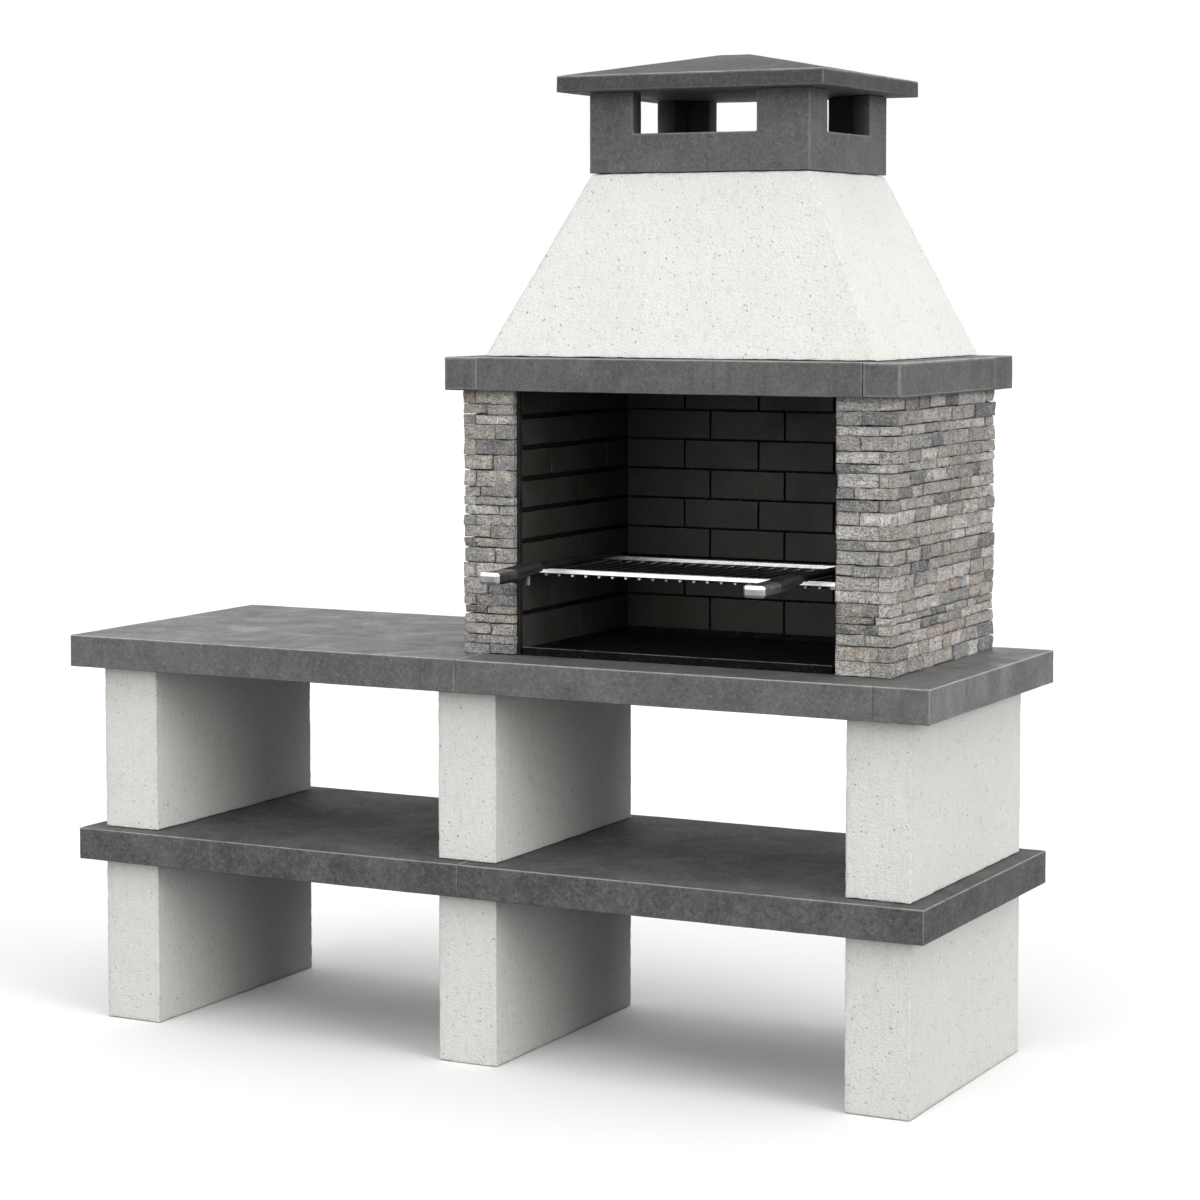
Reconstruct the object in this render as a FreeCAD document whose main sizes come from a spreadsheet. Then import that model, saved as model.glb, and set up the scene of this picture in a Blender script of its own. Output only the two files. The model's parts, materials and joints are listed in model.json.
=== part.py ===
import FreeCAD, Part
import os
import random
import Sketcher

# Masonry barbecue: concrete slabs on white piers, a stone-clad firebox lined with black brick,
# a concrete mantel, a hollow white hood and a capped chimney, with a sliding grill and ember tray.
# Millimetres. X runs along the worktop, Y runs from front to back, Z is up.
# The origin is on the ground, under the middle of the whole outline.

# Driving dimensions
SIZES = {
    # stand
    "worktop_length": 1960,
    "worktop_depth": 700,
    "slab_thickness": 68,
    "slab_arris": 2.5,
    "shelf_end_inset": 12,
    "shelf_front_inset": 8.5,
    "left_bay_length": 946.5,
    "pier_thickness": 135,
    "pier_depth": 609,
    "pier_height": 348,
    "pier_front_inset": 48,
    "pier_end_inset": 53.5,
    "pier_arris": 3,
    "score_from_joint": 82.5,
    "score_from_end": 114,
    "score_width": 2.4,
    "score_depth": 1.6,
    # firebox
    "firebox_centre": 1372,
    "firebox_width": 935,
    "firebox_depth": 560,
    "firebox_height": 534,
    "firebox_setback": 110,
    "opening_width": 689,
    "stone_thickness": 28,
    "stone_relief": 3,
    "stone_joint": 1.2,
    "stone_course": 24,
    "stone_length": 72,
    "back_wall_thickness": 30,
    "mortar_thickness": 6,
    "brick_thickness": 30,
    "brick_length": 165,
    "side_brick_length": 230,
    "brick_arris": 2.5,
    "lower_course": 83,
    "upper_course": 63,
    "side_joint": 10,
    "side_upright_joint": 2,
    "back_joint": 3,
    "trim_width": 6.5,
    "trim_depth": 14,
    "trim_arris": 1,
    # ember tray
    "tray_setback": 16,
    "tray_clearance": 6,
    "tray_back_gap": 9,
    "tray_height": 14,
    "tray_sheet": 2,
    "tray_bead": 5,
    # grill and its ledges
    "ledge_thickness": 4,
    "ledge_reach": 20,
    "ledge_setback": 10,
    "ledge_back_gap": 12,
    "ledge_tab_drop": 22,
    "ledge_tab_width": 10,
    "grill_setback": 17,
    "grill_depth": 330,
    "grill_clearance": 7,
    "running_gap": 0.3,
    "weld_gap": 0.1,
    "bar_size": 10,
    "bar_arris": 1.5,
    "rod_diameter": 5,
    "rod_end_inset": 3,
    "rod_pitch": 30,
    "shaft_width": 32,
    "shaft_height": 9,
    "shaft_inset_left": 26.5,
    "shaft_inset_right": 79.5,
    "shaft_arris": 1.5,
    "handle_reach": 66,
    "cap_length": 80,
    "cap_bevel": 6,
    "grip_length": 111,
    "grip_width": 46,
    "grip_height": 24,
    "grip_rear_width": 40,
    "grip_rear_height": 18,
    "grip_droop": 8,
    "grip_round": 7,
    "tang_depth": 30,
    "tang_clearance": 0.2,
    "fin_length": 65,
    "fin_drop": 19,
    "fin_thickness": 4,
    # mantel
    "mantel_thickness": 68,
    "mantel_side_overhang": 26,
    "mantel_front_overhang": 30.5,
    "mantel_end_width": 77.5,
    "mantel_lintel_depth": 120,
    "mantel_back_depth": 101,
    # hood
    "hood_length": 854,
    "hood_depth": 550,
    "hood_front_inset": 49.5,
    "hood_height": 368,
    "hood_wall": 40,
    "hood_top_length": 477,
    "hood_top_depth": 393,
    "hood_top_setback": 105,
    # chimney
    "collar_overhang": 3,
    "collar_height": 161,
    "collar_wall": 40,
    "collar_sill": 78.5,
    "collar_left_post": 98,
    "collar_right_post": 115,
    "collar_side_post": 90,
    "roof_overhang": 49.5,
    "roof_edge": 33,
    "roof_rise": 47.5,
    "roof_flat_length": 65,
    "roof_flat_depth": 50,
}

LOWER_COURSES = 2
# where the first upright joint lies in even and odd courses, in bricks from the end
SIDE_BOND = (0, 0.5)
BACK_BOND = (1.15, 0.8)
THINNEST_ARRIS_SHARE = 0.25
SAME_PLACE = 0.001
UPRIGHT = FreeCAD.Rotation(FreeCAD.Vector(1, 0, 0), 90)
STONE_SEED = 5
STONE_HEIGHT_SPREAD = (0.65, 1.4)
STONE_LENGTH_SPREAD = (0.55, 1.5)

doc = FreeCAD.newDocument("masonry_barbecue")
sheet = doc.addObject("Spreadsheet::Sheet", "Size")
for row, (alias, millimetres) in enumerate(SIZES.items(), start=1):
    sheet.set(f"A{row}", alias)
    sheet.set(f"B{row}", str(millimetres))
    sheet.setAlias(f"B{row}", alias)
doc.recompute()

# Places worked out from the driving dimensions, as expressions on the sheet
LEFT_END = "(-Size.worktop_length / 2)"
RIGHT_END = "(Size.worktop_length / 2)"
FRONT = "((Size.handle_reach - Size.worktop_depth) / 2)"
BACK = f"({FRONT} + Size.worktop_depth)"
SLAB_JOINT = f"({LEFT_END} + Size.left_bay_length)"

SHELF_Z = "Size.pier_height"
UPPER_PIER_Z = "(Size.pier_height + Size.slab_thickness)"
WORKTOP_Z = "(2 * Size.pier_height + Size.slab_thickness)"
HEARTH_Z = "(2 * Size.pier_height + 2 * Size.slab_thickness)"
MANTEL_Z = f"({HEARTH_Z} + Size.firebox_height)"
HOOD_Z = f"({MANTEL_Z} + Size.mantel_thickness)"
COLLAR_Z = f"({HOOD_Z} + Size.hood_height)"
ROOF_Z = f"({COLLAR_Z} + Size.collar_height)"

CENTRE = f"({LEFT_END} + Size.firebox_centre)"
STONE_OUT = "(Size.firebox_width / 2)"
CORE_OUT = f"({STONE_OUT} - Size.stone_thickness)"
OPENING = "(Size.opening_width / 2)"
BRICK_OUT = f"({OPENING} + Size.brick_thickness)"
MORTAR_OUT = f"({BRICK_OUT} + Size.mortar_thickness)"
TRIM_OUT = f"({OPENING} + Size.trim_width)"

STONE_FRONT = f"({FRONT} + Size.firebox_setback)"
LINER_FRONT = f"({STONE_FRONT} + Size.stone_thickness)"
WALL_BACK = f"({STONE_FRONT} + Size.firebox_depth)"
BACK_WALL_FRONT = f"({WALL_BACK} - Size.back_wall_thickness)"
BACK_MORTAR_FRONT = f"({BACK_WALL_FRONT} - Size.mortar_thickness)"
LINER_BACK = f"({BACK_MORTAR_FRONT} - Size.brick_thickness)"

LEDGE_Z = f"({HEARTH_Z} + {LOWER_COURSES} * Size.lower_course - Size.side_joint / 2)"
BAR_Z = f"({LEDGE_Z} + Size.ledge_thickness + Size.running_gap + Size.bar_size / 2)"
BAR_Y = f"({LINER_FRONT} + Size.grill_setback)"
REAR_BAR_Y = f"({BAR_Y} + Size.grill_depth)"
BAR_HALF = f"({OPENING} - Size.grill_clearance)"
SHAFT_X = {
    "left": f"({CENTRE} - {BAR_HALF} + Size.shaft_inset_left)",
    "right": f"({CENTRE} + {BAR_HALF} - Size.shaft_inset_right)",
}
SHAFT_Z = f"({BAR_Z} + Size.bar_size / 2 + Size.weld_gap)"
CAP_Y = f"({FRONT} - Size.handle_reach)"
GRIP_Y = f"({CAP_Y} + Size.cap_length)"
GRIP_BACK = f"({GRIP_Y} + Size.grip_length)"
GRIP_Z = f"({SHAFT_Z} + Size.shaft_height / 2 - Size.grip_droop)"

MANTEL_OUT = f"({STONE_OUT} + Size.mantel_side_overhang)"
MANTEL_FRONT = f"({STONE_FRONT} - Size.mantel_front_overhang)"
MANTEL_BEAM_FRONT = f"({BACK} - Size.mantel_back_depth)"
HOOD_FRONT = f"({MANTEL_FRONT} + Size.hood_front_inset)"
HOOD_TOP_FRONT = f"({HOOD_FRONT} + Size.hood_top_setback)"
COLLAR_LENGTH = "(Size.hood_top_length + 2 * Size.collar_overhang)"
COLLAR_DEPTH = "(Size.hood_top_depth + 2 * Size.collar_overhang)"
ROOF_LENGTH = f"({COLLAR_LENGTH} + 2 * Size.roof_overhang)"
ROOF_DEPTH = f"({COLLAR_DEPTH} + 2 * Size.roof_overhang)"

SIDES = {"left": -1, "right": 1}
nodes = []


def mm(expression):
    """The number that an expression on the sheet comes to."""
    return float(sheet.evalExpression(expression))


def side_x(side, near, far):
    """The lower X of a piece that lies from near to far, measured out from the firebox's centre."""
    if side == "left":
        return f"{CENTRE} - {far}"
    return f"{CENTRE} + {near}"


def place(piece, x, y, z):
    """Bind a piece's place and keep the piece as a node."""
    for axis, expression in zip("xyz", (x, y, z)):
        piece.setExpression(f"Placement.Base.{axis}", expression)
    nodes.append(piece)


def new_body(label, x, y, z):
    body = doc.addObject("PartDesign::Body", label)
    body.Label = label
    place(body, x, y, z)
    return body


def new_sketch(body, role, lift="0"):
    """A sketch on one of the body's own planes, moved along its normal by lift."""
    plane = next(feature for feature in body.Origin.OriginFeatures if feature.Role == role)
    sketch = body.newObject("Sketcher::SketchObject", f"{body.Name}_sketch")
    sketch.AttachmentSupport = (plane, [""])
    sketch.MapMode = "FlatFace"
    sketch.setExpression("AttachmentOffset.Base.z", lift)
    return sketch


def fix_point(sketch, geometry, point, across, up):
    """Hold one sketch point at the coordinates that two expressions give."""
    axes = (("DistanceX", across, -2), ("DistanceY", up, -1))
    for kind, expression, axis in axes:
        if expression == "0":
            sketch.addConstraint(Sketcher.Constraint("PointOnObject", geometry, point, axis))
            continue
        distance = Sketcher.Constraint(kind, -1, 1, geometry, point, mm(expression))
        index = sketch.addConstraint(distance)
        name = f"{kind}_{geometry}_{point}"
        sketch.renameConstraint(index, name)
        sketch.setExpression(f"Constraints.{name}", expression)


def draw_outline(sketch, corners):
    """A closed outline of straight lines through corners given as pairs of expressions."""
    points = [FreeCAD.Vector(mm(across), mm(up), 0) for across, up in corners]
    count = len(points)
    for index in range(count):
        sketch.addGeometry(Part.LineSegment(points[index], points[(index + 1) % count]), False)
    for index in range(count):
        sketch.addConstraint(Sketcher.Constraint("Coincident", index, 2, (index + 1) % count, 1))
    for index, (across, up) in enumerate(corners):
        fix_point(sketch, index, 1, across, up)


def draw_rectangle(sketch, length, depth, left="0", low="0"):
    right = length if left == "0" else f"{left} + {length}"
    high = depth if low == "0" else f"{low} + {depth}"
    draw_outline(sketch, [(left, low), (right, low), (right, high), (left, high)])


def draw_circle(sketch, across, up, diameter):
    circle = Part.Circle(FreeCAD.Vector(mm(across), mm(up), 0), FreeCAD.Vector(0, 0, 1), mm(diameter) / 2)
    geometry = sketch.addGeometry(circle, False)
    fix_point(sketch, geometry, 3, across, up)
    index = sketch.addConstraint(Sketcher.Constraint("Diameter", geometry, mm(diameter)))
    sketch.renameConstraint(index, "diameter")
    sketch.setExpression("Constraints.diameter", diameter)


def pad(body, sketch, length):
    feature = body.newObject("PartDesign::Pad", f"{body.Name}_pad")
    feature.Profile = sketch
    feature.setExpression("Length", length)
    doc.recompute()
    return feature


def cut_through(body, sketch, backwards=False):
    """Cut a sketch right through the body and make sure that something was cut."""
    before = body.Shape.Volume
    feature = body.newObject("PartDesign::Pocket", f"{body.Name}_cut")
    feature.Profile = sketch
    feature.Type = "ThroughAll"
    feature.Reversed = backwards
    doc.recompute()
    if feature.Shape.Volume >= before:
        raise RuntimeError(f"{body.Label}: a cut missed the solid")
    return feature


def cut_deep(body, sketch, length, backwards=False):
    """Cut a sketch to a depth and make sure that something was cut."""
    before = body.Shape.Volume
    feature = body.newObject("PartDesign::Pocket", f"{body.Name}_cut")
    feature.Profile = sketch
    feature.setExpression("Length", length)
    feature.Reversed = backwards
    doc.recompute()
    if feature.Shape.Volume >= before:
        raise RuntimeError(f"{body.Label}: a cut missed the solid")
    return feature


def wedge(body, kind, near, far, run):
    """A block that tapers along Y between two rectangles, each (left, low, length, height)."""
    feature = body.newObject(f"PartDesign::{kind}Wedge", f"{body.Name}_wedge")
    for number, (left, low, length, height) in (("", near), ("2", far)):
        feature.setExpression(f"X{number}min", left)
        feature.setExpression(f"X{number}max", f"{left} + {length}")
        feature.setExpression(f"Z{number}min", low)
        feature.setExpression(f"Z{number}max", f"{low} + {height}")
    feature.setExpression("Ymin", "0")
    feature.setExpression("Ymax", run)
    doc.recompute()
    return feature


def upright_wedge(body, kind, base, top, rise, lift="0"):
    """The same, standing up: each rectangle is (left, front, length, depth)."""
    rectangles = []
    for left, front, length, depth in (base, top):
        rectangles.append((left, f"-({front} + {depth})", length, depth))
    feature = wedge(body, kind, *rectangles, rise)
    feature.Placement = FreeCAD.Placement(FreeCAD.Vector(), UPRIGHT)
    feature.setExpression("Placement.Base.z", lift)
    doc.recompute()
    return feature


def edge_names(shape, wanted):
    """The names of the edges for which wanted is true."""
    return [f"Edge{number}" for number, edge in enumerate(shape.Edges, start=1) if wanted(edge)]


def bevel(body, base, size, wanted=lambda edge: True):
    feature = body.newObject("PartDesign::Chamfer", f"{body.Name}_bevel")
    feature.Base = (base, edge_names(base.Shape, wanted))
    feature.setExpression("Size", size)
    doc.recompute()
    return feature


def rounding(body, base, radius, wanted):
    feature = body.newObject("PartDesign::Fillet", f"{body.Name}_rounding")
    feature.Base = (base, edge_names(base.Shape, wanted))
    feature.setExpression("Radius", radius)
    doc.recompute()
    return feature


def block(label, at, size, arris):
    """A straight block with its corner at a place, and its edges taken off."""
    length, depth, height = size
    body = new_body(label, *at)
    sketch = new_sketch(body, "XY_Plane")
    draw_rectangle(sketch, length, depth)
    bevel(body, pad(body, sketch, height), arris)
    return body


def plain_plate(label, at, size):
    """A Part box for plates and layers whose edges stay sharp."""
    plate = doc.addObject("Part::Box", label)
    plate.Label = label
    for name, expression in zip(("Length", "Width", "Height"), size):
        plate.setExpression(name, expression)
    place(plate, *at)


def group_node(label, solids):
    """One node of many separate solids that are worked out by a loop."""
    group = doc.addObject("Part::Feature", label)
    group.Label = label
    group.Shape = Part.makeCompound(solids)
    group.Placement = FreeCAD.Placement()
    nodes.append(group)


# Piers: three in each storey, ends and middle
def make_piers():
    size = ("Size.pier_thickness", "Size.pier_depth", "Size.pier_height")
    columns = {
        "left": f"{LEFT_END} + Size.pier_end_inset",
        "middle": f"{SLAB_JOINT} - Size.pier_thickness / 2",
        "right": f"{RIGHT_END} - Size.pier_end_inset - Size.pier_thickness",
    }
    for storey, height in (("lower", "0"), ("upper", UPPER_PIER_Z)):
        for name, x in columns.items():
            at = (x, f"{FRONT} + Size.pier_front_inset", height)
            block(f"{storey}_pier_{name}", at, size, "Size.pier_arris")


# Shelf: two slabs that meet over the middle piers
def make_shelf():
    start = f"({LEFT_END} + Size.shelf_end_inset)"
    end = f"({RIGHT_END} - Size.shelf_end_inset)"
    spans = {"left": (start, SLAB_JOINT), "right": (SLAB_JOINT, end)}
    for name, (low, high) in spans.items():
        at = (low, f"{FRONT} + Size.shelf_front_inset", SHELF_Z)
        size = (f"({high} - {low})", "(Size.worktop_depth - Size.shelf_front_inset)", "Size.slab_thickness")
        block(f"shelf_{name}", at, size, "Size.slab_arris")


# Worktop: two slabs, each with a line scored down its front face
def make_worktop():
    spans = {
        "left": (LEFT_END, SLAB_JOINT, "(Size.left_bay_length - Size.score_from_joint)"),
        "right": (
            SLAB_JOINT,
            RIGHT_END,
            "(Size.worktop_length - Size.left_bay_length - Size.score_from_end)",
        ),
    }
    for name, (low, high, score) in spans.items():
        size = (f"({high} - {low})", "Size.worktop_depth", "Size.slab_thickness")
        slab = block(f"worktop_{name}", (low, FRONT, WORKTOP_Z), size, "Size.slab_arris")
        groove = new_sketch(slab, "XY_Plane")
        corners = [
            (f"{score} - Size.score_width / 2", "0"),
            (f"{score} + Size.score_width / 2", "0"),
            (score, "Size.score_depth"),
        ]
        draw_outline(groove, corners)
        cut_through(slab, groove, backwards=True)


# Firebox walls: concrete cores at the sides and a concrete back
def make_firebox_walls():
    for side in SIDES:
        at = (side_x(side, MORTAR_OUT, CORE_OUT), LINER_FRONT, HEARTH_Z)
        size = (f"{CORE_OUT} - {MORTAR_OUT}", f"{BACK_WALL_FRONT} - {LINER_FRONT}", "Size.firebox_height")
        plain_plate(f"side_wall_{side}", at, size)
    at = (f"{CENTRE} - {CORE_OUT}", BACK_WALL_FRONT, HEARTH_Z)
    plain_plate("back_wall", at, (f"2 * {CORE_OUT}", "Size.back_wall_thickness", "Size.firebox_height"))


# Mortar layers that hold the liner bricks to the walls
def make_mortar():
    for side in SIDES:
        at = (side_x(side, BRICK_OUT, MORTAR_OUT), LINER_FRONT, HEARTH_Z)
        size = ("Size.mortar_thickness", f"{BACK_MORTAR_FRONT} - {LINER_FRONT}", "Size.firebox_height")
        plain_plate(f"liner_mortar_{side}", at, size)
    at = (f"{CENTRE} - {MORTAR_OUT}", BACK_MORTAR_FRONT, HEARTH_Z)
    size = (f"2 * {MORTAR_OUT}", "Size.mortar_thickness", "Size.firebox_height")
    plain_plate("liner_mortar_back", at, size)


def course_heights(joint):
    """Bottom and top of each brick course: two tall courses, then the rest, with the last one cut."""
    top = mm("Size.firebox_height")
    lines = [0]
    while lines[-1] < top:
        pitch = "Size.lower_course" if len(lines) <= LOWER_COURSES else "Size.upper_course"
        lines.append(lines[-1] + mm(pitch))
    courses = []
    for low, high in zip(lines, lines[1:]):
        bottom = low + joint / 2 if low else low
        courses.append((bottom, min(high - joint / 2, top)))
    return courses


def course_joints(length, brick_length, bond, row):
    """Lines between the bricks of one course, both ends included."""
    count = max(1, round(length / brick_length))
    step = length / count
    first = bond[row % len(bond)]
    inside = [step * (index + first) for index in range(count) if 0 < index + first < count]
    return [0] + inside + [length]


def on_plane(low, high, place):
    """True if both ends of a range lie at one place."""
    return abs(low - place) < SAME_PLACE and abs(high - place) < SAME_PLACE


def brick(corner, size, shown):
    """One brick with the edges taken off around the face that looks towards the fire."""
    solid = Part.makeBox(*size, corner)
    arris = min(mm("Size.brick_arris"), min(size) * THINNEST_ARRIS_SHARE)
    return solid.makeChamfer(arris, [edge for edge in solid.Edges if shown(edge.BoundBox)])


# Firebrick liners: separate bricks with open joints
def make_liners():
    hearth = mm(HEARTH_Z)
    front = mm(LINER_FRONT)
    thickness = mm("Size.brick_thickness")
    depth = mm(f"{BACK_MORTAR_FRONT} - {LINER_FRONT}")
    joint = mm("Size.side_joint")
    upright = mm("Size.side_upright_joint")
    side_length = mm("Size.side_brick_length")
    for side, sign in SIDES.items():
        x = mm(side_x(side, OPENING, BRICK_OUT))
        face = mm(f"{CENTRE} + {sign} * {OPENING}")
        bricks = []
        for row, (low, high) in enumerate(course_heights(joint)):
            lines = course_joints(depth, side_length, SIDE_BOND, row)
            for start, end in zip(lines, lines[1:]):
                near = start + upright / 2 if start else start
                far = end - upright / 2 if end < depth else end
                corner = FreeCAD.Vector(x, front + near, hearth + low)
                size = (thickness, far - near, high - low)
                bricks.append(brick(corner, size, lambda box: on_plane(box.XMin, box.XMax, face)))
        group_node(f"liner_bricks_{side}", bricks)
    joint = mm("Size.back_joint")
    face = mm(LINER_BACK)
    width = mm("Size.opening_width")
    left = mm(f"{CENTRE} - {OPENING}")
    bricks = []
    for row, (low, high) in enumerate(course_heights(joint)):
        lines = course_joints(width, mm("Size.brick_length"), BACK_BOND, row)
        for start, end in zip(lines, lines[1:]):
            corner = FreeCAD.Vector(left + start + joint / 2, face, hearth + low)
            size = (end - start - joint, thickness, high - low)
            bricks.append(brick(corner, size, lambda box: on_plane(box.YMin, box.YMax, face)))
    group_node("liner_bricks_back", bricks)


def uneven_steps(length, mean, spread, draw):
    """Cut a length into uneven steps of about a mean size, as lines from 0 to the length."""
    count = max(1, round(length / mean))
    parts = [draw.uniform(*spread) for _ in range(count)]
    lines = [0]
    for share in parts:
        lines.append(lines[-1] + length * share / sum(parts))
    return lines


def split_stone(plan, low, high):
    """One stone: a four-cornered plan with a split face, raised between two heights."""
    points = [FreeCAD.Vector(x, y, low) for x, y in plan]
    around = sum(a.x * b.y - b.x * a.y for a, b in zip(points, points[1:] + points[:1]))
    if around < 0:
        points.reverse()
    face = Part.Face(Part.makePolygon(points + points[:1]))
    return face.extrude(FreeCAD.Vector(0, 0, high - low))


# Ledger stone: dry courses on the front and the outer side of each wall, with the
# corner stone turned one way and then the other, course by course
def make_stone_cladding():
    centre = mm(CENTRE)
    core_front = mm(LINER_FRONT)
    depth = mm("Size.firebox_depth")
    thickness = mm("Size.stone_thickness")
    gap = mm("Size.stone_joint") / 2
    relief = mm("Size.stone_relief")
    length = mm("Size.stone_length")
    height = mm("Size.firebox_height")
    hearth = mm(HEARTH_Z)
    for side, sign in SIDES.items():
        draw = random.Random(STONE_SEED + sign)
        core_side = centre + sign * mm(CORE_OUT)
        inner_end = centre + sign * mm(TRIM_OUT)
        front_run = abs(core_side - inner_end)
        stones = []
        lines = uneven_steps(height, mm("Size.stone_course"), STONE_HEIGHT_SPREAD, draw)
        for row, (low, high) in enumerate(zip(lines, lines[1:])):
            bottom = hearth + low + (gap if row else 0)
            top = hearth + high - (gap if row < len(lines) - 2 else 0)
            corner_on_front = row % 2 == 0
            # front of the wall, from its inner edge out to the corner
            run = front_run + (thickness if corner_on_front else 0)
            cuts = uneven_steps(run, length, STONE_LENGTH_SPREAD, draw)
            for start, end in zip(cuts, cuts[1:]):
                is_last = end == cuts[-1]
                near = inner_end + sign * (start + (gap if start else 0))
                shrink = draw.uniform(0, relief) if is_last and corner_on_front else gap
                far = inner_end + sign * (end - shrink)
                face_near = core_front - thickness + draw.uniform(0, relief)
                face_far = core_front - thickness + draw.uniform(0, relief)
                plan = [(near, core_front), (far, core_front), (far, face_far), (near, face_near)]
                stones.append(split_stone(plan, bottom, top))
            # outer side of the wall, from the front back to the rear edge
            begin = 0 if corner_on_front else -thickness
            run = depth - thickness - begin
            cuts = uneven_steps(run, length, STONE_LENGTH_SPREAD, draw)
            for start, end in zip(cuts, cuts[1:]):
                is_corner = start == 0 and not corner_on_front
                shrink = draw.uniform(0, relief) if is_corner else gap
                near = core_front + begin + start + shrink
                far = core_front + begin + end - (gap if end < cuts[-1] else 0)
                face_near = core_side + sign * (thickness - draw.uniform(0, relief))
                face_far = core_side + sign * (thickness - draw.uniform(0, relief))
                plan = [(core_side, near), (core_side, far), (face_far, far), (face_near, near)]
                stones.append(split_stone(plan, bottom, top))
        group_node(f"stone_cladding_{side}", stones)


# Steel bars that finish the front edges of the liners
def make_trims():
    for side in SIDES:
        at = (side_x(side, OPENING, TRIM_OUT), f"{LINER_FRONT} - Size.trim_depth", HEARTH_Z)
        size = ("Size.trim_width", "Size.trim_depth", "Size.firebox_height")
        block(f"edge_trim_{side}", at, size, "Size.trim_arris")


# Steel ledges laid in a bed joint of the side liners, with a tab turned down at the front
def make_ledges():
    inner = f"({OPENING} - Size.ledge_reach)"
    front = f"({LINER_FRONT} + Size.ledge_setback)"
    length = f"({LINER_BACK} - Size.ledge_back_gap - {front})"
    for side in SIDES:
        at = (side_x(side, inner, BRICK_OUT), front, f"{LEDGE_Z} - Size.ledge_tab_drop")
        body = new_body(f"grill_ledge_{side}", *at)
        plate = new_sketch(body, "XY_Plane", "Size.ledge_tab_drop")
        draw_rectangle(plate, f"({BRICK_OUT} - {inner})", length)
        pad(body, plate, "Size.ledge_thickness")
        tab = new_sketch(body, "XY_Plane")
        wide = "Size.ledge_tab_width"
        tab_left = "Size.brick_thickness" if side == "left" else f"Size.ledge_reach - {wide}"
        draw_rectangle(tab, wide, "Size.ledge_thickness", left=tab_left)
        pad(body, tab, "Size.ledge_tab_drop")


# Ember tray: a folded sheet pan with a rolled front edge
def make_tray():
    half = f"({OPENING} - Size.tray_clearance)"
    front = f"({STONE_FRONT} + Size.tray_setback)"
    depth = f"({LINER_BACK} - Size.tray_back_gap - {front})"
    body = new_body("ember_tray", f"{CENTRE} - {half}", front, HEARTH_Z)
    base = new_sketch(body, "XY_Plane")
    draw_rectangle(base, f"2 * {half}", depth)
    pad(body, base, "Size.tray_height")
    hollow = new_sketch(body, "XY_Plane", "Size.tray_height")
    inside = f"(2 * {half} - 2 * Size.tray_sheet)"
    draw_rectangle(hollow, inside, f"({depth} - 2 * Size.tray_sheet)", "Size.tray_sheet", "Size.tray_sheet")
    cut_deep(body, hollow, "Size.tray_height - Size.tray_sheet")
    bead = new_sketch(body, "YZ_Plane")
    draw_circle(bead, "Size.tray_bead / 2", "Size.tray_height", "Size.tray_bead")
    pad(body, bead, f"2 * {half}")


# Mantel: a lintel between two side slabs that are notched for it, and a beam across the back
def make_mantel():
    lintel_half = f"({MANTEL_OUT} - Size.mantel_end_width)"
    at = (f"{CENTRE} - {lintel_half}", MANTEL_FRONT, MANTEL_Z)
    size = (f"2 * {lintel_half}", "Size.mantel_lintel_depth", "Size.mantel_thickness")
    block("mantel_lintel", at, size, "Size.slab_arris")
    width = f"({MANTEL_OUT} - {OPENING})"
    run = f"({MANTEL_BEAM_FRONT} - {MANTEL_FRONT})"
    notch = f"({width} - Size.mantel_end_width)"
    outlines = {
        "left": [
            ("0", "0"),
            ("Size.mantel_end_width", "0"),
            ("Size.mantel_end_width", "Size.mantel_lintel_depth"),
            (width, "Size.mantel_lintel_depth"),
            (width, run),
            ("0", run),
        ],
        "right": [
            (notch, "0"),
            (width, "0"),
            (width, run),
            ("0", run),
            ("0", "Size.mantel_lintel_depth"),
            (notch, "Size.mantel_lintel_depth"),
        ],
    }
    for side in SIDES:
        body = new_body(f"mantel_{side}", side_x(side, OPENING, MANTEL_OUT), MANTEL_FRONT, MANTEL_Z)
        sketch = new_sketch(body, "XY_Plane")
        draw_outline(sketch, outlines[side])
        bevel(body, pad(body, sketch, "Size.mantel_thickness"), "Size.slab_arris")
    at = (f"{CENTRE} - {MANTEL_OUT}", MANTEL_BEAM_FRONT, MANTEL_Z)
    size = (f"2 * {MANTEL_OUT}", "Size.mantel_back_depth", "Size.mantel_thickness")
    block("mantel_back", at, size, "Size.slab_arris")


# Hood: a hollow tapered shell, open at the bottom and at the top
def make_hood():
    body = new_body("hood", f"{CENTRE} - Size.hood_length / 2", HOOD_FRONT, HOOD_Z)
    wall = "Size.hood_wall"
    top_left = "((Size.hood_length - Size.hood_top_length) / 2)"
    outer_base = ("0", "0", "Size.hood_length", "Size.hood_depth")
    outer_top = (top_left, "Size.hood_top_setback", "Size.hood_top_length", "Size.hood_top_depth")
    upright_wedge(body, "Additive", outer_base, outer_top, "Size.hood_height")
    mouth = (wall, wall, f"(Size.hood_length - 2 * {wall})", f"(Size.hood_depth - 2 * {wall})")
    throat = (
        f"({top_left} + {wall})",
        f"(Size.hood_top_setback + {wall})",
        f"(Size.hood_top_length - 2 * {wall})",
        f"(Size.hood_top_depth - 2 * {wall})",
    )
    upright_wedge(body, "Subtractive", mouth, throat, "Size.hood_height")


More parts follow.
